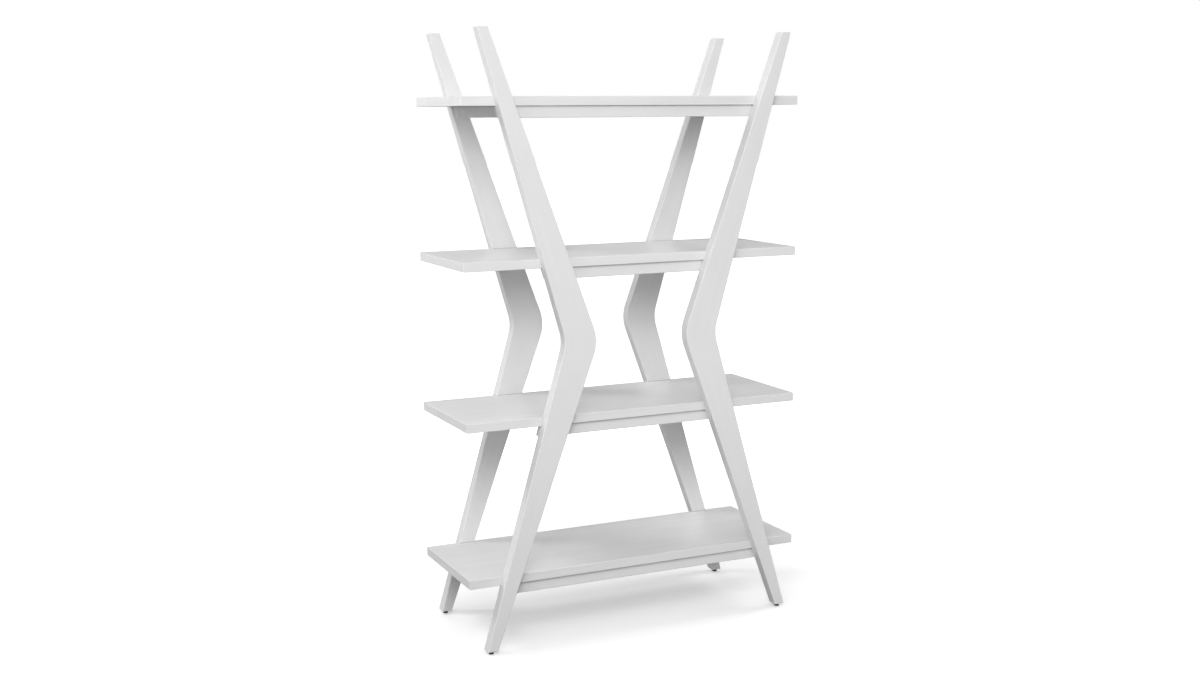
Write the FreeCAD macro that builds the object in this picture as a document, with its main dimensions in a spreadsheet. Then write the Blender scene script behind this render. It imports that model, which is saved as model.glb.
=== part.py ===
import FreeCAD, Part
import Sketcher
import math
import os

# Four-shelf etagere in painted wood.
# Millimetres, +Z up, floor at z = 0, front towards -Y, centred in X and Y.

doc = FreeCAD.newDocument("etagere")
V = FreeCAD.Vector

DIMS = [
    # chevron legs
    ("leg_height", 1800.0),
    ("leg_thick", 36.0),
    ("leg_end_outer", 507.0),
    ("leg_end_inner", 475.0),
    ("leg_bend_outer", 247.0),
    ("leg_bend_inner", 142.5),
    ("bend_round_outer", 106.0),
    ("bend_round_inner", 122.0),
    ("leg_edge_round", 2.5),
    ("depth_overall", 440.0),
    # shelves
    ("shelf_length", 1100.0),
    ("shelf_depth", 387.0),
    ("shelf_thick", 27.0),
    ("shelf_pitch", 464.5),
    ("shelf_edge_round", 1.6),
    ("notch_gap", 0.3),
    ("notch_back_gap", 0.6),
    ("notch_edge_round", 1.2),
    # rails
    ("rail_height", 34.0),
    ("rail_thick", 28.0),
    ("rail_edge_round", 2.0),
    ("rail_inset_top", 7.0),
    ("rail_inset_upper", 9.0),
    ("rail_inset_lower", 6.0),
    ("rail_inset_bottom", 13.5),
    # levelling feet
    ("foot_height", 10.0),
    ("pad_top_radius", 8.25),
    ("pad_base_radius", 7.2),
    ("pad_disc_height", 6.5),
    ("pad_edge_cut", 0.8),
    ("collar_flats", 11.0),
    ("pad_bore_radius", 3.05),
    ("pad_bore_depth", 7.0),
    ("stud_radius", 3.0),
    ("stud_reach", 20.0),
    ("stud_point", 0.8),
    ("foot_insert_radius", 5.5),
    ("foot_insert_bore", 3.3),
    ("foot_insert_length", 20.0),
    ("foot_hole_radius", 5.55),
    ("foot_hole_depth", 22.0),
    # rail bolts and their inserts
    ("bolt_shift", 2.0),
    ("bolt_step_bottom", 3.0),
    ("bolt_radius", 3.0),
    ("bolt_length", 40.0),
    ("bolt_head_radius", 6.5),
    ("bolt_head_height", 3.0),
    ("bolt_head_cut", 0.6),
    ("bolt_socket_flats", 4.0),
    ("bolt_socket_depth", 2.6),
    ("bolt_hole_radius", 3.3),
    ("bolt_recess_radius", 7.0),
    ("bolt_recess_depth", 5.0),
    ("cap_radius", 6.8),
    ("cap_sink", 0.2),
    ("cap_edge_cut", 0.4),
    ("cap_stub_flats", 3.7),
    ("cap_stub_length", 2.0),
    ("insert_radius", 5.0),
    ("insert_bore", 3.05),
    ("insert_length", 14.0),
    ("insert_hole_radius", 5.05),
    ("insert_hole_depth", 18.0),
    # dowels
    ("dowel_shift", 14.0),
    ("dowel_radius", 4.0),
    ("dowel_length", 30.0),
    ("dowel_point", 1.0),
    ("dowel_hole_radius", 4.05),
    ("dowel_hole_depth", 16.0),
    # shelf screws
    ("screw_setback", 110.0),
    ("screw_radius", 2.2),
    ("screw_length", 45.0),
    ("screw_point", 4.0),
    ("screw_head_radius", 4.2),
    ("screw_head_height", 2.8),
    ("screw_slot_width", 1.1),
    ("screw_slot_reach", 2.3),
    ("screw_slot_depth", 1.4),
    ("screw_hole_radius", 2.5),
    ("screw_recess_radius", 4.75),
    ("screw_recess_depth", 5.0),
    ("pilot_radius", 2.25),
    ("pilot_depth", 17.0),
]

sheet = doc.addObject("Spreadsheet::Sheet", "dims")
for row, (alias, value) in enumerate(DIMS, 1):
    sheet.set("A%d" % row, alias)
    sheet.set("B%d" % row, str(value))
    sheet.setAlias("B%d" % row, alias)
doc.recompute()


class Q:
    """A size with its value and the sheet expression that gives it."""

    def __init__(self, v, e=None):
        self.v = float(v)
        self.e = e if e is not None else repr(float(v))

    @staticmethod
    def of(o):
        return o if isinstance(o, Q) else Q(o)

    def __add__(self, o):
        o = Q.of(o)
        return Q(self.v + o.v, "(%s + %s)" % (self.e, o.e))

    def __sub__(self, o):
        o = Q.of(o)
        return Q(self.v - o.v, "(%s - %s)" % (self.e, o.e))

    def __mul__(self, o):
        o = Q.of(o)
        return Q(self.v * o.v, "(%s * %s)" % (self.e, o.e))

    def __truediv__(self, o):
        o = Q.of(o)
        return Q(self.v / o.v, "(%s / %s)" % (self.e, o.e))

    def __neg__(self):
        return Q(-self.v, "(0 - %s)" % self.e)

    def __abs__(self):
        return Q(abs(self.v), "abs(%s)" % self.e)


D = dict((alias, Q(value, "dims.%s" % alias)) for alias, value in DIMS)
ZERO = Q(0.0, "0")


# ---------------------------------------------------------------- helpers

def plane(body, role):
    return [f for f in body.Origin.OriginFeatures if f.Role == role][0]


def new_body(label):
    body = doc.addObject("PartDesign::Body", label)
    body.Label = label
    return body


def put(obj, x, y, z):
    x, y, z = Q.of(x), Q.of(y), Q.of(z)
    obj.Placement = FreeCAD.Placement(V(x.v, y.v, z.v), FreeCAD.Rotation())
    obj.setExpression("Placement.Base.x", x.e)
    obj.setExpression("Placement.Base.y", y.e)
    obj.setExpression("Placement.Base.z", z.e)
    doc.recompute()


def sketch_on(body, name, role, offset=None):
    s = body.newObject("Sketcher::SketchObject", name)
    s.AttachmentSupport = [(plane(body, role), "")]
    s.MapMode = "FlatFace"
    if offset is not None:
        s.AttachmentOffset = FreeCAD.Placement(V(0, 0, offset.v), FreeCAD.Rotation())
        s.setExpression("AttachmentOffset.Base.z", offset.e)
    return s


def bind(s, constraint, q):
    i = s.addConstraint(constraint)
    name = "size%d" % i
    s.renameConstraint(i, name)
    s.setExpression("Constraints.%s" % name, q.e)


def fix(s, geo, pos, x, y):
    for kind, axis, q in (("DistanceX", -2, Q.of(x)), ("DistanceY", -1, Q.of(y))):
        if abs(q.v) < 1e-9:
            s.addConstraint(Sketcher.Constraint("PointOnObject", geo, pos, axis))
        elif q.v > 0:
            bind(s, Sketcher.Constraint(kind, -1, 1, geo, pos, q.v), q)
        else:
            bind(s, Sketcher.Constraint(kind, geo, pos, -1, 1, -q.v), -q)


def polygon(s, points):
    points = [(Q.of(x), Q.of(y)) for x, y in points]
    n = len(points)
    ids = []
    for i in range(n):
        a, b = points[i], points[(i + 1) % n]
        ids.append(s.addGeometry(Part.LineSegment(V(a[0].v, a[1].v, 0),
                                                  V(b[0].v, b[1].v, 0)), False))
    for i in range(n):
        s.addConstraint(Sketcher.Constraint("Coincident", ids[i], 2, ids[(i + 1) % n], 1))
    for i in range(n):
        fix(s, ids[i], 1, points[i][0], points[i][1])


def circle(s, x, y, radius):
    x, y = Q.of(x), Q.of(y)
    g = s.addGeometry(Part.Circle(V(x.v, y.v, 0), V(0, 0, 1), radius.v), False)
    fix(s, g, 3, x, y)
    bind(s, Sketcher.Constraint("Radius", g, radius.v), radius)


def hexagon(s, flats):
    corner = flats / math.sqrt(3.0)
    half = flats / 2.0
    polygon(s, [(corner, ZERO), (corner / 2.0, half), (-(corner / 2.0), half),
                (-corner, ZERO), (-(corner / 2.0), -half), (corner / 2.0, -half)])


def pad(body, s, length, backwards=False):
    f = body.newObject("PartDesign::Pad", s.Name + "_pad")
    f.Profile = s
    f.Length = length.v
    f.setExpression("Length", length.e)
    f.Reversed = backwards
    doc.recompute()
    return f


def pocket(body, s, length, backwards=False):
    before = body.Shape.Volume
    f = body.newObject("PartDesign::Pocket", s.Name + "_cut")
    f.Profile = s
    f.Length = length.v
    f.setExpression("Length", length.e)
    f.Reversed = backwards
    doc.recompute()
    if not body.Shape.Volume < before - 0.5:
        raise RuntimeError("%s cut nothing" % s.Name)
    return f


def revolve(body, s):
    f = body.newObject("PartDesign::Revolution", s.Name + "_turned")
    f.Profile = s
    f.ReferenceAxis = (s, ["V_Axis"])
    f.Angle = 360.0
    doc.recompute()
    return f


def fillet(body, feature, edges, radius, name):
    if not edges:
        raise RuntimeError("%s has no edges" % name)
    f = body.newObject("PartDesign::Fillet", name)
    f.Base = (feature, edges)
    f.Radius = radius.v
    f.setExpression("Radius", radius.e)
    doc.recompute()
    return f


def chamfer(body, feature, edges, size, name):
    f = body.newObject("PartDesign::Chamfer", name)
    f.Base = (feature, edges)
    f.Size = size.v
    f.setExpression("Size", size.e)
    doc.recompute()
    return f


def edge_names(shape, test):
    names = []
    for i, e in enumerate(shape.Edges, 1):
        pts = [v.Point for v in e.Vertexes]
        pts.append(e.valueAt((e.FirstParameter + e.LastParameter) / 2.0))
        if test(pts):
            names.append("Edge%d" % i)
    return names


def near(a, b):
    return abs(a - b) < 1e-4


def mirrored(source, name, normal):
    m = doc.addObject("Part::Mirroring", name)
    m.Source = source
    m.Base = V(0, 0, 0)
    m.Normal = normal
    doc.recompute()
    return m


def grouped(name, objects):
    c = doc.addObject("Part::Compound", name)
    c.Links = objects
    c.Label = name
    doc.recompute()
    return c


def four_of(name, source):
    pair = grouped(name + "_pair", [source, mirrored(source, name + "_other", V(1, 0, 0))])
    return grouped(name, [pair, mirrored(pair, name + "_behind", V(0, 1, 0))])


# ---------------------------------------------------------------- layout

LEVELS = [("top", 1.5), ("upper", 0.5), ("lower", -0.5), ("bottom", -1.5)]
MIDDLE = D["leg_height"] / 2.0


def shelf_base(k):
    """Underside of a shelf above the foot of the legs."""
    return MIDDLE + D["shelf_pitch"] * k - D["shelf_thick"] / 2.0


def rail_base(k):
    return shelf_base(k) - D["rail_height"]


def leg_edge(z, bend, end):
    return bend + (end - bend) * abs(z - MIDDLE) / MIDDLE


def leg_outer(z):
    return leg_edge(z, D["leg_bend_outer"], D["leg_end_outer"])


def leg_inner(z):
    return leg_edge(z, D["leg_bend_inner"], D["leg_end_inner"])


def joint_height(k):
    return rail_base(k) + D["rail_height"] / 2.0


def joint_centre(k):
    z = joint_height(k)
    return (leg_outer(z) + leg_inner(z)) / 2.0


def bolt_x(k):
    """The bottom rails end further in, so their bolts stand further in too."""
    x = joint_centre(k) + D["bolt_shift"]
    return x - D["bolt_step_bottom"] if k == LEVELS[-1][1] else x


def dowel_x(k):
    return joint_centre(k) - D["dowel_shift"]


def rail_inset(level):
    return D["rail_inset_" + level]


def screw_x(level, k):
    return leg_outer(joint_height(k)) - rail_inset(level) - D["screw_setback"]


FOOT_X = (D["leg_end_outer"] + D["leg_end_inner"]) / 2.0
FOOT_Y = (D["depth_overall"] - D["leg_thick"]) / 2.0
LEG_FACE = D["depth_overall"] / 2.0 - D["leg_thick"]

NODES = []


# ---------------------------------------------------------------- legs

def make_leg(label, side, front):
    def sx(q):
        return q if side > 0 else -q

    body = new_body(label)
    s = sketch_on(body, label + "_outline", "XZ_Plane")
    polygon(s, [(sx(D["leg_end_inner"]), ZERO),
                (sx(D["leg_end_outer"]), ZERO),
                (sx(D["leg_bend_outer"]), MIDDLE),
                (sx(D["leg_end_outer"]), D["leg_height"]),
                (sx(D["leg_end_inner"]), D["leg_height"]),
                (sx(D["leg_bend_inner"]), MIDDLE)])
    board = pad(body, s, D["leg_thick"], True)

    def at_bend(x):
        return edge_names(body.Tip.Shape, lambda pts: all(
            near(abs(p.x), x.v) and near(p.z, MIDDLE.v) for p in pts))

    step = fillet(body, board, at_bend(D["leg_bend_outer"]), D["bend_round_outer"],
                  label + "_outer_bend")
    step = fillet(body, step, at_bend(D["leg_bend_inner"]), D["bend_round_inner"],
                  label + "_inner_bend")

    thick, tall = D["leg_thick"].v, D["leg_height"].v
    eased = edge_names(step.Shape, lambda pts: (
        all(near(p.y, 0.0) for p in pts) or all(near(p.y, thick) for p in pts) or
        all(near(p.z, 0.0) for p in pts) or all(near(p.z, tall) for p in pts)))
    fillet(body, step, eased, D["leg_edge_round"], label + "_eased")

    # holes in the inner face for the rail bolts' inserts and the dowels
    face = -D["leg_thick"] if front else None
    s = sketch_on(body, label + "_insert_holes", "XZ_Plane", face)
    for level, k in LEVELS:
        circle(s, sx(bolt_x(k)), joint_height(k), D["insert_hole_radius"])
    pocket(body, s, D["insert_hole_depth"], front)
    s = sketch_on(body, label + "_dowel_holes", "XZ_Plane", face)
    for level, k in LEVELS:
        circle(s, sx(dowel_x(k)), joint_height(k), D["dowel_hole_radius"])
    pocket(body, s, D["dowel_hole_depth"], front)

    # hole in the foot for the leveller's insert
    s = sketch_on(body, label + "_foot_hole", "XY_Plane")
    circle(s, sx(FOOT_X), D["leg_thick"] / 2.0, D["foot_hole_radius"])
    pocket(body, s, D["foot_hole_depth"], True)

    half = D["depth_overall"] / 2.0
    put(body, ZERO, -half if front else LEG_FACE, D["foot_height"])
    NODES.append(body)


make_leg("leg_front_left", -1, True)
make_leg("leg_front_right", 1, True)
make_leg("leg_back_left", -1, False)
make_leg("leg_back_right", 1, False)


# ---------------------------------------------------------------- shelves

def make_shelf(level, k):
    label = "shelf_" + level
    body = new_body(label)
    lx, ly = D["shelf_length"] / 2.0, D["shelf_depth"] / 2.0
    s = sketch_on(body, label + "_outline", "XY_Plane")
    polygon(s, [(-lx, -ly), (lx, -ly), (lx, ly), (-lx, ly)])
    board = pad(body, s, D["shelf_thick"])
    fillet(body, board, edge_names(board.Shape, lambda pts: True),
           D["shelf_edge_round"], label + "_eased")

    # notches for the legs, cut to the slope of their edges
    low, high = Q(-1.0), D["shelf_thick"] + 1.0
    za, zb = shelf_base(k) + low, shelf_base(k) + high
    gap = D["notch_gap"]
    ia, ib = leg_inner(za) - gap, leg_inner(zb) - gap
    oa, ob = leg_outer(za) + gap, leg_outer(zb) + gap
    wall = LEG_FACE - D["notch_back_gap"]
    deep = ly - wall
    for name, offset, backwards in (("front", ly, False), ("back", -ly, True)):
        s = sketch_on(body, "%s_%s_notches" % (label, name), "XZ_Plane", offset)
        polygon(s, [(ia, low), (oa, low), (ob, high), (ib, high)])
        polygon(s, [(-ia, low), (-oa, low), (-ob, high), (-ib, high)])
        pocket(body, s, deep, backwards)
    thick = D["shelf_thick"].v
    long_edges = edge_names(body.Tip.Shape, lambda pts: (
        all(near(abs(p.y), wall.v) for p in pts) and
        (all(near(p.z, 0.0) for p in pts) or all(near(p.z, thick) for p in pts))))
    fillet(body, body.Tip, long_edges, D["notch_edge_round"], label + "_notches_eased")

    # pilot holes for the screws that come up through the rails
    s = sketch_on(body, label + "_pilots", "XY_Plane")
    row = LEG_FACE - D["rail_thick"] / 2.0
    xs = screw_x(level, k)
    for y in (row, -row):
        for x in (-xs, ZERO, xs):
            circle(s, x, y, D["pilot_radius"])
    pocket(body, s, D["pilot_depth"], True)

    put(body, ZERO, ZERO, D["foot_height"] + shelf_base(k))
    NODES.append(body)


for level, k in LEVELS:
    make_shelf(level, k)


# ---------------------------------------------------------------- rails

def make_rail(level, k, front):
    label = "rail_%s_%s" % ("front" if front else "back", level)
    body = new_body(label)
    inset = rail_inset(level)
    xa = leg_outer(rail_base(k)) - inset
    xb = leg_outer(shelf_base(k)) - inset
    tall, deep = D["rail_height"], D["rail_thick"]
    s = sketch_on(body, label + "_outline", "XZ_Plane")
    polygon(s, [(-xa, ZERO), (xa, ZERO), (xb, tall), (-xb, tall)])
    board = pad(body, s, deep, True)
    fillet(body, board, edge_names(board.Shape, lambda pts: True),
           D["rail_edge_round"], label + "_eased")

    mid = tall / 2.0
    bx, dx = bolt_x(k), dowel_x(k)
    inner = -deep if front else None
    outer = None if front else -deep

    s = sketch_on(body, label + "_bolt_holes", "XZ_Plane")
    circle(s, -bx, mid, D["bolt_hole_radius"])
    circle(s, bx, mid, D["bolt_hole_radius"])
    pocket(body, s, deep)
    s = sketch_on(body, label + "_bolt_recesses", "XZ_Plane", inner)
    circle(s, -bx, mid, D["bolt_recess_radius"])
    circle(s, bx, mid, D["bolt_recess_radius"])
    pocket(body, s, D["bolt_recess_depth"], front)
    s = sketch_on(body, label + "_dowel_holes", "XZ_Plane", outer)
    circle(s, -dx, mid, D["dowel_hole_radius"])
    circle(s, dx, mid, D["dowel_hole_radius"])
    pocket(body, s, D["dowel_hole_depth"], not front)

    xs = screw_x(level, k)
    s = sketch_on(body, label + "_screw_holes", "XY_Plane")
    for x in (-xs, ZERO, xs):
        circle(s, x, deep / 2.0, D["screw_hole_radius"])
    pocket(body, s, tall, True)
    s = sketch_on(body, label + "_screw_recesses", "XY_Plane")
    for x in (-xs, ZERO, xs):
        circle(s, x, deep / 2.0, D["screw_recess_radius"])
    pocket(body, s, D["screw_recess_depth"], True)

    put(body, ZERO, -LEG_FACE if front else LEG_FACE - deep,
        D["foot_height"] + rail_base(k))
    NODES.append(body)


for level, k in LEVELS:
    make_rail(level, k, True)
for level, k in LEVELS:
    make_rail(level, k, False)


# ---------------------------------------------------------------- levelling feet

def make_leveller(corner, side, way):
    x = FOOT_X if side > 0 else -FOOT_X
    y = FOOT_Y if way > 0 else -FOOT_Y

    label = "leveller_pad_" + corner
    body = new_body(label)
    s = sketch_on(body, label + "_profile", "XZ_Plane")
    base, top, disc = D["pad_base_radius"], D["pad_top_radius"], D["pad_disc_height"]
    cut = D["pad_edge_cut"]
    polygon(s, [(ZERO, ZERO), (base - cut, ZERO), (base, cut),
                (top, disc - cut), (top - cut, disc), (ZERO, disc)])
    revolve(body, s)
    s = sketch_on(body, label + "_collar", "XY_Plane", disc)
    hexagon(s, D["collar_flats"])
    pad(body, s, D["foot_height"] - disc)
    s = sketch_on(body, label + "_bore", "XY_Plane", D["foot_height"])
    circle(s, ZERO, ZERO, D["pad_bore_radius"])
    pocket(body, s, D["pad_bore_depth"])
    put(body, x, y, ZERO)
    NODES.append(body)

    label = "leveller_stud_" + corner
    body = new_body(label)
    s = sketch_on(body, label + "_profile", "XZ_Plane")
    r, tip = D["stud_radius"], D["stud_point"]
    length = D["pad_bore_depth"] + D["stud_reach"]
    polygon(s, [(ZERO, ZERO), (r - tip, ZERO), (r, tip), (r, length - tip),
                (r - tip, length), (ZERO, length)])
    revolve(body, s)
    put(body, x, y, D["foot_height"] - D["pad_bore_depth"])
    NODES.append(body)


make_leveller("front_left", -1, -1)
make_leveller("front_right", 1, -1)
make_leveller("back_left", -1, 1)
make_leveller("back_right", 1, 1)

body = new_body("foot_insert")
s = sketch_on(body, "foot_insert_ring", "XY_Plane")
circle(s, ZERO, ZERO, D["foot_insert_radius"])
circle(s, ZERO, ZERO, D["foot_insert_bore"])
pad(body, s, D["foot_insert_length"])
put(body, FOOT_X, -FOOT_Y, D["foot_height"])
NODES.append(four_of("leveller_inserts", body))


# ---------------------------------------------------------------- rail fixings

def make_rail_fixings(level, k):
    z = D["foot_height"] + joint_height(k)

    # flat-head furniture bolt, head towards the inside
    name = "bolt_" + level
    body = new_body(name)
    s = sketch_on(body, name + "_profile", "XY_Plane")
    r, hr = D["bolt_radius"], D["bolt_head_radius"]
    hh, cut, length = D["bolt_head_height"], D["bolt_head_cut"], D["bolt_length"]
    polygon(s, [(ZERO, hh), (hr - cut, hh), (hr, hh - cut), (hr, ZERO), (r, ZERO),
                (r, -(length - cut)), (r - cut, -length), (ZERO, -length)])
    revolve(body, s)
    s = sketch_on(body, name + "_socket", "XZ_Plane", -hh)
    hexagon(s, D["bolt_socket_flats"])
    pocket(body, s, D["bolt_socket_depth"], True)
    put(body, bolt_x(k),
        -LEG_FACE + D["rail_thick"] - D["bolt_recess_depth"], z)
    NODES.append(four_of("rail_bolts_" + level, body))

    # cover cap over the bolt's head, its stub pushed into the socket
    name = "cap_" + level
    body = new_body(name)
    s = sketch_on(body, name + "_profile", "XY_Plane")
    r, cut = D["cap_radius"], D["cap_edge_cut"]
    tall = D["bolt_recess_depth"] - D["bolt_head_height"] - D["cap_sink"]
    polygon(s, [(ZERO, ZERO), (r, ZERO), (r, tall - cut), (r - cut, tall), (ZERO, tall)])
    revolve(body, s)
    s = sketch_on(body, name + "_stub", "XZ_Plane")
    hexagon(s, D["cap_stub_flats"])
    pad(body, s, D["cap_stub_length"])
    put(body, bolt_x(k),
        -LEG_FACE + D["rail_thick"] - D["bolt_recess_depth"] + D["bolt_head_height"], z)
    NODES.append(four_of("rail_caps_" + level, body))

    # threaded insert in the leg
    name = "insert_" + level
    body = new_body(name)
    s = sketch_on(body, name + "_ring", "XZ_Plane")
    circle(s, ZERO, ZERO, D["insert_radius"])
    circle(s, ZERO, ZERO, D["insert_bore"])
    pad(body, s, D["insert_length"])
    put(body, bolt_x(k), -LEG_FACE, z)
    NODES.append(four_of("rail_inserts_" + level, body))

    # dowel, half in the rail and half in the leg
    name = "dowel_" + level
    body = new_body(name)
    s = sketch_on(body, name + "_round", "XZ_Plane", D["dowel_length"] / 2.0)
    circle(s, ZERO, ZERO, D["dowel_radius"])
    rod = pad(body, s, D["dowel_length"], True)
    half = D["dowel_length"].v / 2.0
    ends = edge_names(rod.Shape, lambda pts: all(near(abs(p.y), half) for p in pts))
    chamfer(body, rod, ends, D["dowel_point"], name + "_points")
    put(body, dowel_x(k), -LEG_FACE, z)
    NODES.append(four_of("rail_dowels_" + level, body))


for level, k in LEVELS:
    make_rail_fixings(level, k)


# ---------------------------------------------------------------- shelf screws

def screw_body(name):
    body = new_body(name)
    s = sketch_on(body, name + "_profile", "XZ_Plane")
    r, hr, hh = D["screw_radius"], D["screw_head_radius"], D["screw_head_height"]
    length, tip = D["screw_length"], D["screw_point"]
    polygon(s, [(ZERO, -hh), (hr - 0.8, -hh), (hr, -(hh - 0.8)), (hr, ZERO), (r, ZERO),
                (r, length - tip), (Q(0.3), length), (ZERO, length)])
    revolve(body, s)
    s = sketch_on(body, name + "_cross", "XY_Plane", -hh)
    a, b = D["screw_slot_width"] / 2.0, D["screw_slot_reach"]
    polygon(s, [(a, a), (b, a), (b, -a), (a, -a), (a, -b), (-a, -b),
                (-a, -a), (-b, -a), (-b, a), (-a, a), (-a, b), (a, b)])
    pocket(body, s, D["screw_slot_depth"], True)
    return body


def make_shelf_screws(level, k):
    y = -LEG_FACE + D["rail_thick"] / 2.0
    z = D["foot_height"] + rail_base(k) + D["screw_recess_depth"]
    name = "shelf_screws_" + level
    middle = screw_body("screw_middle_" + level)
    put(middle, ZERO, y, z)
    outer = screw_body("screw_outer_" + level)
    put(outer, screw_x(level, k), y, z)
    row = grouped(name + "_row", [middle, outer, mirrored(outer, name + "_other", V(1, 0, 0))])
    NODES.append(grouped(name, [row, mirrored(row, name + "_behind", V(0, 1, 0))]))


for level, k in LEVELS:
    make_shelf_screws(level, k)


# ---------------------------------------------------------------- checks and files

doc.recompute()
for obj in doc.Objects:
    if "Invalid" in obj.State or "Error" in obj.State:
        raise RuntimeError("%s: %s" % (obj.Label, obj.State))

os.makedirs("parts", exist_ok=True)
labels = set()
for obj in NODES:
    shape = obj.Shape
    if shape.isNull() or not shape.isValid() or not shape.Solids:
        raise RuntimeError("%s has no valid shape" % obj.Label)
    if obj.Label in labels:
        raise RuntimeError("%s is named twice" % obj.Label)
    labels.add(obj.Label)
    shape.exportStep("parts/%s.step" % obj.Label)
    box = shape.BoundBox
    print("%-28s solids %d  vol %.0f  x %.2f..%.2f  y %.2f..%.2f  z %.2f..%.2f" % (
        obj.Label, len(shape.Solids), shape.Volume, box.XMin, box.XMax,
        box.YMin, box.YMax, box.ZMin, box.ZMax))
print("nodes", len(NODES))
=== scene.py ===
import math

import bpy
import bmesh
from mathutils import Matrix, Vector


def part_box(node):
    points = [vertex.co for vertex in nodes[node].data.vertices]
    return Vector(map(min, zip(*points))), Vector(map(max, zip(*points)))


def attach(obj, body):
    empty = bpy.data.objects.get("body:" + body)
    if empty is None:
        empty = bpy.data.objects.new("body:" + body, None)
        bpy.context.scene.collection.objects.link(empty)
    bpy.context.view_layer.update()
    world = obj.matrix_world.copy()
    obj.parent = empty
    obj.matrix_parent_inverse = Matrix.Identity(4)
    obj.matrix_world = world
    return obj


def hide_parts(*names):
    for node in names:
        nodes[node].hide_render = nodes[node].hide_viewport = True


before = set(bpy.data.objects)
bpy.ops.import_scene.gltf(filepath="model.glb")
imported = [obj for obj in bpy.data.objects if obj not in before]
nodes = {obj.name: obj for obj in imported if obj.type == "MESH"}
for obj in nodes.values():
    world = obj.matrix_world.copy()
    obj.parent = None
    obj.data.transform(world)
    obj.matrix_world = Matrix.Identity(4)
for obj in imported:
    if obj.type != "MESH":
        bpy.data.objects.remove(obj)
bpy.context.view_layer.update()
scene = bpy.context.scene

CORNERS = ("front_left", "front_right", "back_left", "back_right")
LEVELS = ("top", "upper", "lower", "bottom")


# ---------------------------------------------------------------- node helper

class Net:
    """A material's node tree, built one call at a time. An argument is a socket or a plain number."""

    def __init__(self, name):
        self.mat = bpy.data.materials.new(name)
        self.mat.use_nodes = True
        self.tree = self.mat.node_tree
        self.tree.nodes.clear()
        self.out = self.tree.nodes.new("ShaderNodeOutputMaterial")

    def node(self, kind, **settings):
        n = self.tree.nodes.new(kind)
        for key, value in settings.items():
            setattr(n, key, value)
        return n

    def put(self, socket, value):
        if isinstance(value, bpy.types.NodeSocket):
            self.tree.links.new(value, socket)
        else:
            socket.default_value = value

    def math(self, op, a, b=None, c=None, clamp=False):
        n = self.node("ShaderNodeMath", operation=op, use_clamp=clamp)
        for i, v in enumerate((a, b, c)):
            if v is not None:
                self.put(n.inputs[i], v)
        return n.outputs[0]

    def add(self, a, b):
        return self.math("ADD", a, b)

    def sub(self, a, b):
        return self.math("SUBTRACT", a, b)

    def mul(self, a, b):
        return self.math("MULTIPLY", a, b)

    def vec(self, x, y, z):
        n = self.node("ShaderNodeCombineXYZ")
        for i, v in enumerate((x, y, z)):
            self.put(n.inputs[i], v)
        return n.outputs[0]

    def xyz(self, vector):
        n = self.node("ShaderNodeSeparateXYZ")
        self.put(n.inputs[0], vector)
        return n.outputs[0], n.outputs[1], n.outputs[2]

    def noise(self, vector, scale, detail=2.0, rough=0.5, distort=0.0):
        n = self.node("ShaderNodeTexNoise")
        self.put(n.inputs["Vector"], vector)
        n.inputs["Scale"].default_value = scale
        n.inputs["Detail"].default_value = detail
        n.inputs["Roughness"].default_value = rough
        n.inputs["Distortion"].default_value = distort
        return n.outputs[0]

    def cells(self, vector, scale, feature="F1"):
        n = self.node("ShaderNodeTexVoronoi", feature=feature)
        self.put(n.inputs["Vector"], vector)
        n.inputs["Scale"].default_value = scale
        return n.outputs["Distance"]

    def ramp(self, value, low, high, to_low=0.0, to_high=1.0, smooth=True):
        n = self.node("ShaderNodeMapRange", interpolation_type="SMOOTHSTEP" if smooth else "LINEAR")
        for i, v in enumerate((value, low, high, to_low, to_high)):
            self.put(n.inputs[i], v)
        return n.outputs[0]

    def blend(self, factor, a, b):
        n = self.node("ShaderNodeMix", data_type="RGBA")
        self.put(n.inputs["Factor"], factor)
        self.put(n.inputs[6], a)
        self.put(n.inputs[7], b)
        return n.outputs[2]

    def bump(self, height, distance, strength, before=None):
        n = self.node("ShaderNodeBump")
        n.inputs["Strength"].default_value = strength
        n.inputs["Distance"].default_value = distance
        self.put(n.inputs["Height"], height)
        if before is not None:
            self.put(n.inputs["Normal"], before)
        return n.outputs[0]

    def coords(self):
        n = self.node("ShaderNodeTexCoord")
        return n.outputs["Object"], n.outputs["Normal"]

    def shade(self, **inputs):
        n = self.node("ShaderNodeBsdfPrincipled")
        for key, value in inputs.items():
            self.put(n.inputs[key.replace("_", " ")], value)
        self.tree.links.new(n.outputs[0], self.out.inputs["Surface"])
        return self.mat


# ---------------------------------------------------------------- satin white paint on wood

MID = 0.91            # height of the legs' bend
LEAN = 0.3292         # how far a limb runs sideways for each metre of height
BEND = 0.022          # softens the corner of that line at the bend
SHELF_TOPS = (1.62025, 1.15575, 0.69125, 0.22675)
# painted shade on the top of each rail's outward face, under the shelf's overhang: how dark it is, how tall, and
# how far from the legs it turns near black; darker on the lower rails, where less light reaches
SEAM_SHADE = {"top": (0.05, 0.0016, 0.014), "upper": (0.20, 0.0024, 0.014), "lower": (0.52, 0.0038, 0.045), "bottom": (0.80, 0.0050, 0.075)}


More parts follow.
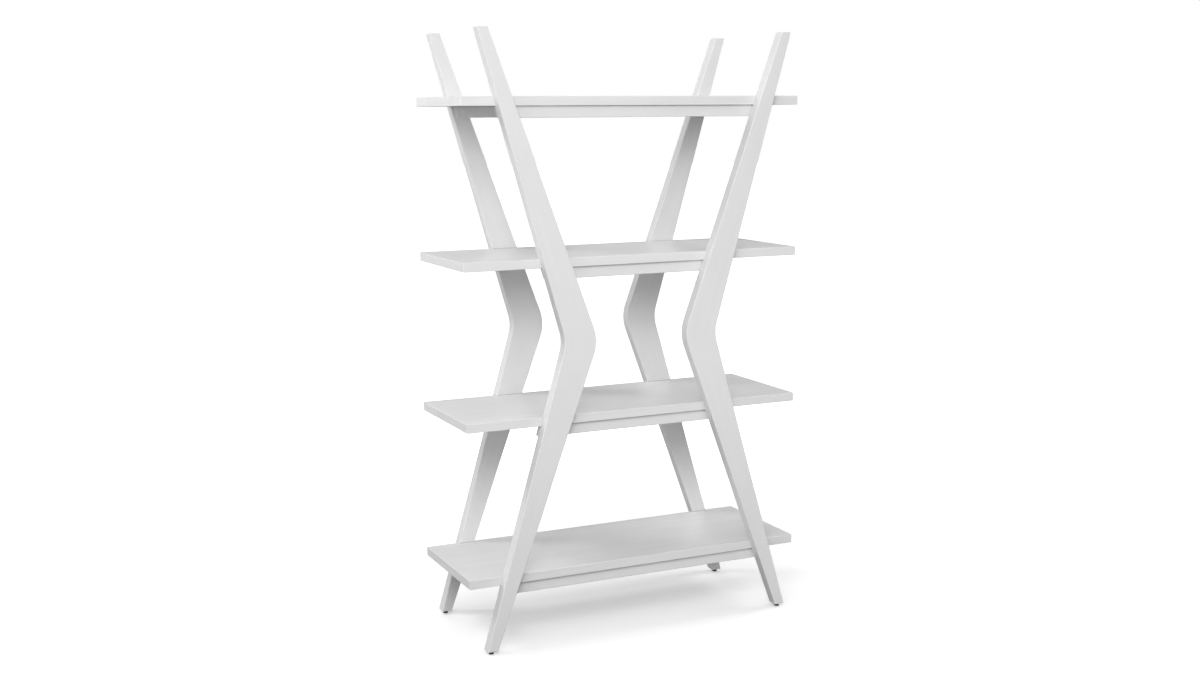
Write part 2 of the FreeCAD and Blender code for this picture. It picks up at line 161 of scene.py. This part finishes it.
def painted(name, lo, hi, kind, seed):
    """Sprayed satin lacquer. The wood below shows as faint fibres along each board, the film is a little thin on
    the eased edges, which also carry a painted highlight, the cut ends are drier, and painted shade darkens each
    seam with a shelf: a dark band at the top of each rail that turns near black beside the legs, and a thin dark
    line on the legs above each shelf top, partly a dark joint hairline.
    """
    m = Net("satin_paint_" + name)
    place, normal = m.coords()
    x, y, z = m.xyz(place)
    facing = m.xyz(normal)
    nx, ny, nz = (m.math("ABSOLUTE", c) for c in facing)
    size = [(b - a) / 2 for a, b in zip(lo, hi)]
    mid = [(a + b) / 2 for a, b in zip(lo, hi)]

    if kind == "leg":
        rise = m.math("SQRT", m.add(m.math("POWER", m.sub(z, MID), 2.0), BEND * BEND))
        side = m.math("ABSOLUTE", x)
        along, across, through = z, m.sub(side, m.mul(rise, LEAN)), y
        outer = m.sub(m.math("MULTIPLY_ADD", rise, 0.2889, 0.2465), side)
        inner = m.sub(side, m.math("MULTIPLY_ADD", rise, 0.3694, 0.1430))
        gap_a = m.mul(m.math("MINIMUM", outer, inner), 0.95)
        gap_b = m.sub(size[1], m.math("ABSOLUTE", m.sub(y, mid[1])))
        gap_c = m.sub(0.9, rise)
        ends = m.ramp(nz, 0.75, 0.95)
        inside = m.ramp(m.mul(facing[1], -1.0 if mid[1] > 0 else 1.0), 0.70, 0.95)
        above = None
        for top in SHELF_TOPS:
            step = m.math("ABSOLUTE", m.sub(z, top + 0.0004))
            above = step if above is None else m.math("MINIMUM", above, step)
        # partly a dark joint hairline, partly painted contact shadow: a thin dark band on the legs' inner faces
        # just above each shelf top
        seam_shade = m.mul(inside, m.ramp(above, 0.0003, 0.0012, 1.0, 0.0))
    else:
        along, across, through = x, y, z
        gap_a = m.sub(size[0], m.math("ABSOLUTE", x))
        gap_b = m.sub(size[1], m.math("ABSOLUTE", m.sub(y, mid[1])))
        gap_c = m.sub(size[2], m.math("ABSOLUTE", m.sub(z, mid[2])))
        ends = m.ramp(nx, 0.75, 0.95)
    if kind == "rail":
        # painted shade on the top of a rail's outward face under the shelf's overhang: the band grows taller and
        # turns near black where the rail meets the leg's inner edge
        beside = m.math("ABSOLUTE", m.sub(m.math("ABSOLUTE", x), 0.1430 + 0.3694 * abs(hi[2] - MID)))
        dark, tall, reach = SEAM_SHADE[name.split("_")[2]]
        outward = m.ramp(m.mul(facing[1], 1.0 if mid[1] > 0 else -1.0), 0.05, 0.35)
        corner = m.mul(outward, m.ramp(beside, 0.0030, 0.0080, 1.0, 0.0))
        corner_shade = m.mul(outward, m.ramp(beside, 0.0040, reach, 1.0, 0.0))
        below = m.math("MULTIPLY_ADD", corner, 0.0022, m.math("MULTIPLY_ADD", outward, tall - 0.0040, 0.0040))
        seam_shade = m.ramp(m.sub(hi[2], z), 0.0004, below, 1.0, 0.0)
        dark = m.math("MULTIPLY_ADD", outward, dark - 0.65, 0.65)

    # distance to the nearest edge on the face: the middle one of three
    low, high = m.math("MINIMUM", gap_a, gap_b), m.math("MAXIMUM", gap_a, gap_b)
    gap = m.math("MAXIMUM", low, m.math("MINIMUM", high, gap_c))
    edge = m.ramp(gap, 0.0002, 0.0045, 1.0, 0.0)

    fine = m.vec(m.math("MULTIPLY_ADD", along, 5.0, seed), m.mul(across, 260.0), m.mul(through, 260.0))
    wide = m.vec(m.math("MULTIPLY_ADD", along, 1.3, seed), m.mul(across, 34.0), m.mul(through, 34.0))
    fibre = m.noise(fine, 1.0, 5.0, 0.62, 0.35)
    streak = m.noise(wide, 1.0, 3.0, 0.55, 0.6)
    cloud = m.noise(place, 6.5, 3.0, 0.5)
    peel = m.noise(place, 620.0, 1.5, 0.4)
    pores = m.ramp(m.cells(place, 900.0), 0.06, 0.30, 1.0, 0.0)
    rub = m.mul(edge, m.ramp(m.noise(place, 46.0, 4.0, 0.6), 0.50, 0.66))

    tone = m.add(m.mul(m.sub(fibre, 0.5), 0.30), m.mul(m.sub(streak, 0.5), 1.70 if kind == "shelf" else 0.75))
    tone = m.add(tone, m.mul(m.sub(cloud, 0.5), 0.85))
    if kind == "shelf":
        rings = m.noise(m.vec(m.math("MULTIPLY_ADD", y, 14.0, seed), m.mul(z, 240.0), 0.0), 1.0, 3.0, 0.6, 0.4)
        tone = m.add(tone, m.mul(ends, m.math("MULTIPLY_ADD", rings, 2.4, -1.2)))
    tone = m.math("ADD", m.add(tone, 0.55), m.mul(ends, m.math("MULTIPLY_ADD", pores, -0.45, -0.10)), clamp=True)
    paint = m.blend(tone, (0.704, 0.705, 0.706, 1.0), (0.770, 0.770, 0.769, 1.0))
    # painted highlight: the eased edges are lightened
    paint = m.blend(m.mul(edge, 0.08), paint, (0.810, 0.810, 0.809, 1.0))
    paint = m.blend(m.mul(rub, 0.15), paint, (0.652, 0.642, 0.626, 1.0))
    if kind != "shelf":
        # painted shade: darkens the seam band, on the rails under each shelf's overhang and on the legs just above
        # each shelf top
        paint = m.blend(m.mul(seam_shade, dark if kind == "rail" else 0.60), paint, (0.300, 0.295, 0.286, 1.0))
    if kind == "rail":
        # painted shade: near-black corner where the rail, the shelf and the leg meet
        paint = m.blend(m.mul(m.mul(seam_shade, corner_shade), 0.90), paint, (0.070, 0.068, 0.064, 1.0))

    rough = m.math("MULTIPLY_ADD", m.sub(streak, 0.5), 0.16, 0.375)
    rough = m.add(rough, m.mul(m.sub(cloud, 0.5), 0.12))
    rough = m.add(rough, m.mul(ends, 0.09))
    rough = m.math("ADD", rough, m.mul(edge, 0.10), clamp=True)

    relief = m.add(m.mul(fibre, 0.55), m.mul(streak, 0.75))
    skin = m.bump(relief, 0.00022, 0.32)
    skin = m.bump(m.add(peel, m.mul(m.mul(ends, pores), -0.8)), 0.00005, 0.30, skin)
    return m.shade(Base_Color=paint, Roughness=rough, Normal=skin, IOR=1.47)


# ---------------------------------------------------------------- small parts

def nylon():
    """Moulded black nylon: fine spark-eroded skin, scuffed grey where it meets the floor."""
    m = Net("moulded_nylon")
    place, normal = m.coords()
    x, y, z = m.xyz(place)
    grit = m.noise(place, 2600.0, 2.0, 0.6)
    flow = m.noise(place, 240.0, 3.0, 0.55, 0.8)
    scuff = m.mul(m.ramp(z, 0.0004, 0.0030, 1.0, 0.0), m.ramp(m.noise(place, 900.0, 4.0, 0.6), 0.45, 0.62))
    colour = m.blend(flow, (0.050, 0.050, 0.051, 1.0), (0.082, 0.082, 0.083, 1.0))
    colour = m.blend(m.mul(scuff, 0.6), colour, (0.165, 0.163, 0.157, 1.0))
    rough = m.math("MULTIPLY_ADD", grit, 0.22, 0.40)
    rough = m.math("ADD", rough, m.mul(scuff, 0.18), clamp=True)
    skin = m.bump(m.add(m.mul(grit, 0.6), m.mul(flow, 0.4)), 0.00006, 0.5)
    return m.shade(Base_Color=colour, Roughness=rough, Normal=skin, IOR=1.53)


def white_cap():
    """Moulded white nylon of the cover caps: fine skin, faint flow marks, a little handling grime in patches."""
    m = Net("white_nylon")
    place, normal = m.coords()
    grit = m.noise(place, 2400.0, 2.0, 0.6)
    flow = m.noise(place, 180.0, 3.0, 0.55, 0.8)
    grime = m.ramp(m.noise(place, 420.0, 4.0, 0.6), 0.52, 0.70)
    colour = m.blend(flow, (0.775, 0.775, 0.770, 1.0), (0.835, 0.834, 0.828, 1.0))
    colour = m.blend(m.mul(grime, 0.18), colour, (0.62, 0.61, 0.59, 1.0))
    rough = m.math("MULTIPLY_ADD", grit, 0.18, 0.34)
    rough = m.math("ADD", rough, m.mul(grime, 0.10), clamp=True)
    skin = m.bump(m.add(m.mul(grit, 0.6), m.mul(flow, 0.4)), 0.00005, 0.4)
    return m.shade(Base_Color=colour, Roughness=rough, Normal=skin, IOR=1.53)


def zinc():
    """Bright zinc plating: cloudy crystals, fine tool marks, a trace of yellow and blue."""
    m = Net("zinc_plate")
    place, normal = m.coords()
    x, y, z = m.xyz(place)
    cloud = m.noise(place, 310.0, 4.0, 0.6, 0.5)
    flake = m.cells(place, 850.0)
    lines = m.noise(m.vec(m.mul(x, 300.0), m.mul(y, 300.0), m.mul(z, 4200.0)), 1.0, 2.0, 0.5)
    colour = m.blend(cloud, (0.60, 0.61, 0.64, 1.0), (0.77, 0.76, 0.71, 1.0))
    colour = m.blend(m.ramp(flake, 0.1, 0.6, 0.22, 0.0), colour, (0.50, 0.51, 0.53, 1.0))
    rough = m.math("MULTIPLY_ADD", cloud, 0.20, 0.20)
    rough = m.math("ADD", rough, m.mul(lines, 0.10), clamp=True)
    skin = m.bump(m.add(m.mul(lines, 0.5), m.mul(flake, 0.3)), 0.00003, 0.4)
    return m.shade(Base_Color=colour, Roughness=rough, Normal=skin, Metallic=1.0)


def beech():
    """Bare beech: pale pinkish brown, fine rays as short dark flecks along the pin."""
    m = Net("bare_beech")
    place, normal = m.coords()
    x, y, z = m.xyz(place)
    rings = m.noise(m.vec(m.mul(x, 420.0), m.mul(y, 22.0), m.mul(z, 420.0)), 1.0, 4.0, 0.6, 0.9)
    fleck = m.ramp(m.cells(m.vec(m.mul(x, 1500.0), m.mul(y, 210.0), m.mul(z, 1500.0)), 1.0), 0.10, 0.26, 1.0, 0.0)
    ends = m.ramp(m.math("ABSOLUTE", m.xyz(normal)[1]), 0.75, 0.95)
    colour = m.blend(rings, (0.49, 0.325, 0.205, 1.0), (0.665, 0.475, 0.325, 1.0))
    colour = m.blend(m.mul(fleck, 0.45), colour, (0.36, 0.215, 0.125, 1.0))
    colour = m.blend(m.mul(ends, 0.5), colour, (0.43, 0.285, 0.180, 1.0))
    rough = m.math("MULTIPLY_ADD", rings, 0.16, 0.50)
    skin = m.bump(m.add(m.mul(rings, 0.6), m.mul(fleck, -0.5)), 0.00008, 0.5)
    return m.shade(Base_Color=colour, Roughness=rough, Normal=skin)


NYLON, CAP, ZINC, BEECH = nylon(), white_cap(), zinc(), beech()
BOARDS = [n for n in sorted(nodes) if n.startswith(("leg_", "shelf_", "rail_front_", "rail_back_")) and not n.startswith("shelf_screws")]
for i, name in enumerate(BOARDS):
    lo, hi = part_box(name)
    kind = name.split("_")[0]
    nodes[name].material_slots[0].material = painted(name, lo, hi, kind, 7.3 * (i + 1))
for name, obj in nodes.items():
    if name in BOARDS:
        continue
    if name.startswith("leveller_pad"):
        obj.material_slots[0].material = NYLON
    elif name.startswith("rail_caps"):
        obj.material_slots[0].material = CAP
    elif name.startswith("rail_dowels"):
        obj.material_slots[0].material = BEECH
    else:
        obj.material_slots[0].material = ZINC


# ---------------------------------------------------------------- threaded studs of the levellers

PITCH, CREST, ROOT = 0.001, 0.00300, 0.00242


def thread(turn):
    """Depth of an M6 thread's flank at this part of a turn: 0 at the crest, 1 at the root."""
    turn -= math.floor(turn)
    flat = 0.10
    v = abs(turn - 0.5) * 2
    return min(max((v - flat) / (1 - 2.2 * flat), 0.0), 1.0)


def make_stud(corner):
    lo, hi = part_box("leveller_stud_" + corner)
    cx, cy = (lo.x + hi.x) / 2, (lo.y + hi.y) / 2
    around, step = 40, PITCH / 10
    height = hi.z - lo.z
    rows = int(round(height / step))
    bm = bmesh.new()
    rings = []
    for k in range(rows + 1):
        z = lo.z + height * k / rows
        to_top, to_base = hi.z - z, z - lo.z
        cap = CREST - max(0.0, 0.0007 - to_top) - max(0.0, 0.0004 - to_base)
        ring = []
        for j in range(around):
            a = 2 * math.pi * j / around
            r = CREST - (CREST - ROOT) * thread((z - lo.z) / PITCH - j / around)
            r = min(r, cap)
            ring.append(bm.verts.new((cx + r * math.cos(a), cy + r * math.sin(a), z)))
        rings.append(ring)
    for a, b in zip(rings, rings[1:]):
        for j in range(around):
            i = (j + 1) % around
            bm.faces.new((a[j], a[i], b[i], b[j]))
    for ring, z, up in ((rings[0], lo.z, False), (rings[-1], hi.z, True)):
        hub = bm.verts.new((cx, cy, z))
        for j in range(around):
            i = (j + 1) % around
            bm.faces.new((ring[j], ring[i], hub) if up else (ring[i], ring[j], hub))
    mesh = bpy.data.meshes.new("thread_" + corner)
    bm.to_mesh(mesh)
    bm.free()
    mesh.polygons.foreach_set("use_smooth", [True] * len(mesh.polygons))
    mesh.set_sharp_from_angle(angle=math.radians(38))
    obj = bpy.data.objects.new("thread_" + corner, mesh)
    scene.collection.objects.link(obj)
    mesh.materials.append(ZINC)
    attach(obj, "leveller_" + corner)
    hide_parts("leveller_stud_" + corner)


for corner in CORNERS:
    make_stud(corner)


# ---------------------------------------------------------------- floor

def make_floor():
    bm = bmesh.new()
    rows = 96
    hub = bm.verts.new((0, 0, 0))
    before = None
    for radius in (0.6, 1.2, 2.5, 5.0, 12.0, 40.0):
        ring = [bm.verts.new((radius * math.cos(2 * math.pi * j / rows), radius * math.sin(2 * math.pi * j / rows), 0)) for j in range(rows)]
        for j in range(rows):
            i = (j + 1) % rows
            bm.faces.new((hub, ring[j], ring[i]) if before is None else (before[j], ring[j], ring[i], before[i]))
        before = ring
    mesh = bpy.data.meshes.new("floor")
    bm.to_mesh(mesh)
    bm.free()
    obj = bpy.data.objects.new("floor", mesh)
    scene.collection.objects.link(obj)
    m = Net("pale_floor")
    place, normal = m.coords()
    haze = m.noise(place, 1.4, 3.0, 0.5)
    far = m.node("ShaderNodeVectorMath", operation="LENGTH")
    m.put(far.inputs[0], place)
    away = m.ramp(far.outputs["Value"], 1.1, 2.4)
    top = m.node("ShaderNodeBsdfPrincipled")
    m.put(top.inputs["Base Color"], m.blend(haze, (0.87, 0.87, 0.87, 1.0), (0.90, 0.90, 0.90, 1.0)))
    m.put(top.inputs["Roughness"], m.math("MULTIPLY_ADD", haze, 0.1, 0.75))
    top.inputs["Specular IOR Level"].default_value = 0.2
    top.inputs["Emission Color"].default_value = (1, 1, 1, 1)
    m.put(top.inputs["Emission Strength"], m.math("MULTIPLY_ADD", away, 0.75, 0.25))
    below = m.node("ShaderNodeBsdfTransparent")
    pick = m.node("ShaderNodeMixShader")
    geo = m.node("ShaderNodeNewGeometry")
    m.put(pick.inputs[0], geo.outputs["Backfacing"])
    m.put(pick.inputs[1], top.outputs[0])
    m.put(pick.inputs[2], below.outputs[0])
    m.put(m.out.inputs["Surface"], pick.outputs[0])
    mesh.materials.append(m.mat)
    for ray in ("diffuse", "glossy", "transmission", "volume_scatter", "shadow"):
        setattr(obj, "visible_" + ray, False)


make_floor()


# ---------------------------------------------------------------- light

def softbox(name, place, target, width, height, watts):
    lamp = bpy.data.lights.new(name, "AREA")
    lamp.shape = "RECTANGLE"
    lamp.size, lamp.size_y, lamp.energy = width, height, watts
    obj = bpy.data.objects.new(name, lamp)
    scene.collection.objects.link(obj)
    obj.location = place
    obj.rotation_mode = "QUATERNION"
    obj.rotation_quaternion = (Vector(target) - Vector(place)).to_track_quat("-Z", "Y")
    obj.visible_camera = False
    return obj


HEART = (0.0, 0.0, 0.95)


def round_about(azimuth, distance, height):
    """A place round the piece: azimuth 0 is in front of it, 90 to its right."""
    a = math.radians(azimuth)
    return (distance * math.sin(a), -distance * math.cos(a), height)


softbox("light_key", round_about(330, 2.6, 2.0), HEART, 0.9, 0.9, 24.8)
softbox("light_low_front", round_about(0, 2.6, 0.35), HEART, 0.9, 0.9, 3.0)
softbox("light_low_right", round_about(30, 2.6, 0.35), HEART, 0.9, 0.9, 5.7)
softbox("light_right_high", round_about(30, 2.6, 2.8), HEART, 0.9, 0.9, 10.4)
softbox("light_right_side", round_about(90, 2.6, 2.8), HEART, 0.9, 0.9, 20.6)
softbox("light_left_high", round_about(270, 2.6, 2.8), HEART, 0.9, 0.9, 13.6)
softbox("light_left_behind", round_about(240, 2.6, 2.8), HEART, 0.9, 0.9, 27.4)
softbox("light_low_left", round_about(240, 2.6, 0.35), HEART, 0.9, 0.9, 4.6)
softbox("light_back_high", round_about(150, 2.6, 2.8), HEART, 0.9, 0.9, 5.3)
softbox("light_back", round_about(180, 3.2, 1.6), HEART, 2.4, 1.8, 35.0).visible_glossy = False

# the room round the softboxes: soft panels, each by azimuth, elevation, strength and how narrow it is
PANELS = (
    ("front", 0, 22, 2.62, 27.0),
    ("front_left", 308.6, 22, 1.57, 27.0),
    ("front_left_high", 324, 45, 2.33, 27.0),
    ("right_high", 72, 45, 2.33, 27.0),
    ("left", 257, 22, 0.34, 27.0),
    ("left_low", 292.5, 0, 2.11, 27.0),
    ("floor_front", 0, -35, 0.15, 7.0),
    ("floor_left", 300, -35, 0.30, 7.0),
    ("below", 0, -90, 0.35, 7.0),
    ("backdrop", 180, 0, 2.43, 27.0),
    ("back_left", 225, 25, 0.20, 5.2),
    ("back_right", 135, 25, 0.20, 5.2),
)

world = bpy.data.worlds.new("studio")
scene.world = world
world.use_nodes = True
tree = world.node_tree
tree.nodes.clear()


def world_math(op, a, b, name=None):
    n = tree.nodes.new("ShaderNodeMath")
    n.operation = op
    if name:
        n.name = name
    for i, v in enumerate((a, b)):
        if isinstance(v, bpy.types.NodeSocket):
            tree.links.new(v, n.inputs[i])
        else:
            n.inputs[i].default_value = v
    return n.outputs[0]


coord = tree.nodes.new("ShaderNodeTexCoord")
total = None
for name, azimuth, elevation, strength, narrow in PANELS:
    a, e = math.radians(azimuth), math.radians(elevation)
    toward = tree.nodes.new("ShaderNodeVectorMath")
    toward.operation = "DOT_PRODUCT"
    tree.links.new(coord.outputs["Generated"], toward.inputs[0])
    toward.inputs[1].default_value = (math.sin(a) * math.cos(e), -math.cos(a) * math.cos(e), math.sin(e))
    lobe = world_math("POWER", math.e, world_math("MULTIPLY", world_math("SUBTRACT", toward.outputs["Value"], 1.0), narrow))
    lobe = world_math("MULTIPLY", lobe, strength, "panel_" + name)
    total = lobe if total is None else world_math("ADD", total, lobe)
room = tree.nodes.new("ShaderNodeBackground")
tree.links.new(total, room.inputs["Strength"])
paper = tree.nodes.new("ShaderNodeBackground")
paper.inputs["Strength"].default_value = 1.0
for background in (room, paper):
    background.inputs["Color"].default_value = (1, 1, 1, 1)
path = tree.nodes.new("ShaderNodeLightPath")
mix = tree.nodes.new("ShaderNodeMixShader")
out = tree.nodes.new("ShaderNodeOutputWorld")
tree.links.new(path.outputs["Is Camera Ray"], mix.inputs[0])
tree.links.new(room.outputs[0], mix.inputs[1])
tree.links.new(paper.outputs[0], mix.inputs[2])
tree.links.new(mix.outputs[0], out.inputs["Surface"])

scene.view_settings.view_transform = "Standard"
scene.view_settings.look = "None"
scene.view_settings.exposure = 0.0
scene.view_settings.gamma = 1.0


# ---------------------------------------------------------------- camera

YAW, PITCH_DOWN, ROLL = (math.radians(a) for a in (25.1468, 8.6866, -0.3529))
FOCAL_PX, FRAME_PX = 1485.96, 1200.0
ahead = Vector((math.sin(YAW) * math.cos(PITCH_DOWN), math.cos(YAW) * math.cos(PITCH_DOWN), -math.sin(PITCH_DOWN)))
right = Vector((math.cos(YAW), -math.sin(YAW), 0.0))
up = right.cross(ahead)
right, up = math.cos(ROLL) * right + math.sin(ROLL) * up, math.cos(ROLL) * up - math.sin(ROLL) * right
lens = bpy.data.cameras.new("camera")
lens.sensor_fit = "HORIZONTAL"
lens.sensor_width = 36.0
lens.lens = FOCAL_PX / FRAME_PX * 36.0
lens.clip_end = 200.0
camera = bpy.data.objects.new("camera", lens)
scene.collection.objects.link(camera)
turn = Matrix((right, up, -ahead)).transposed().to_4x4()
camera.matrix_world = Matrix.Translation((-1.97333, -4.12710, 1.57872)) @ turn
scene.camera = camera
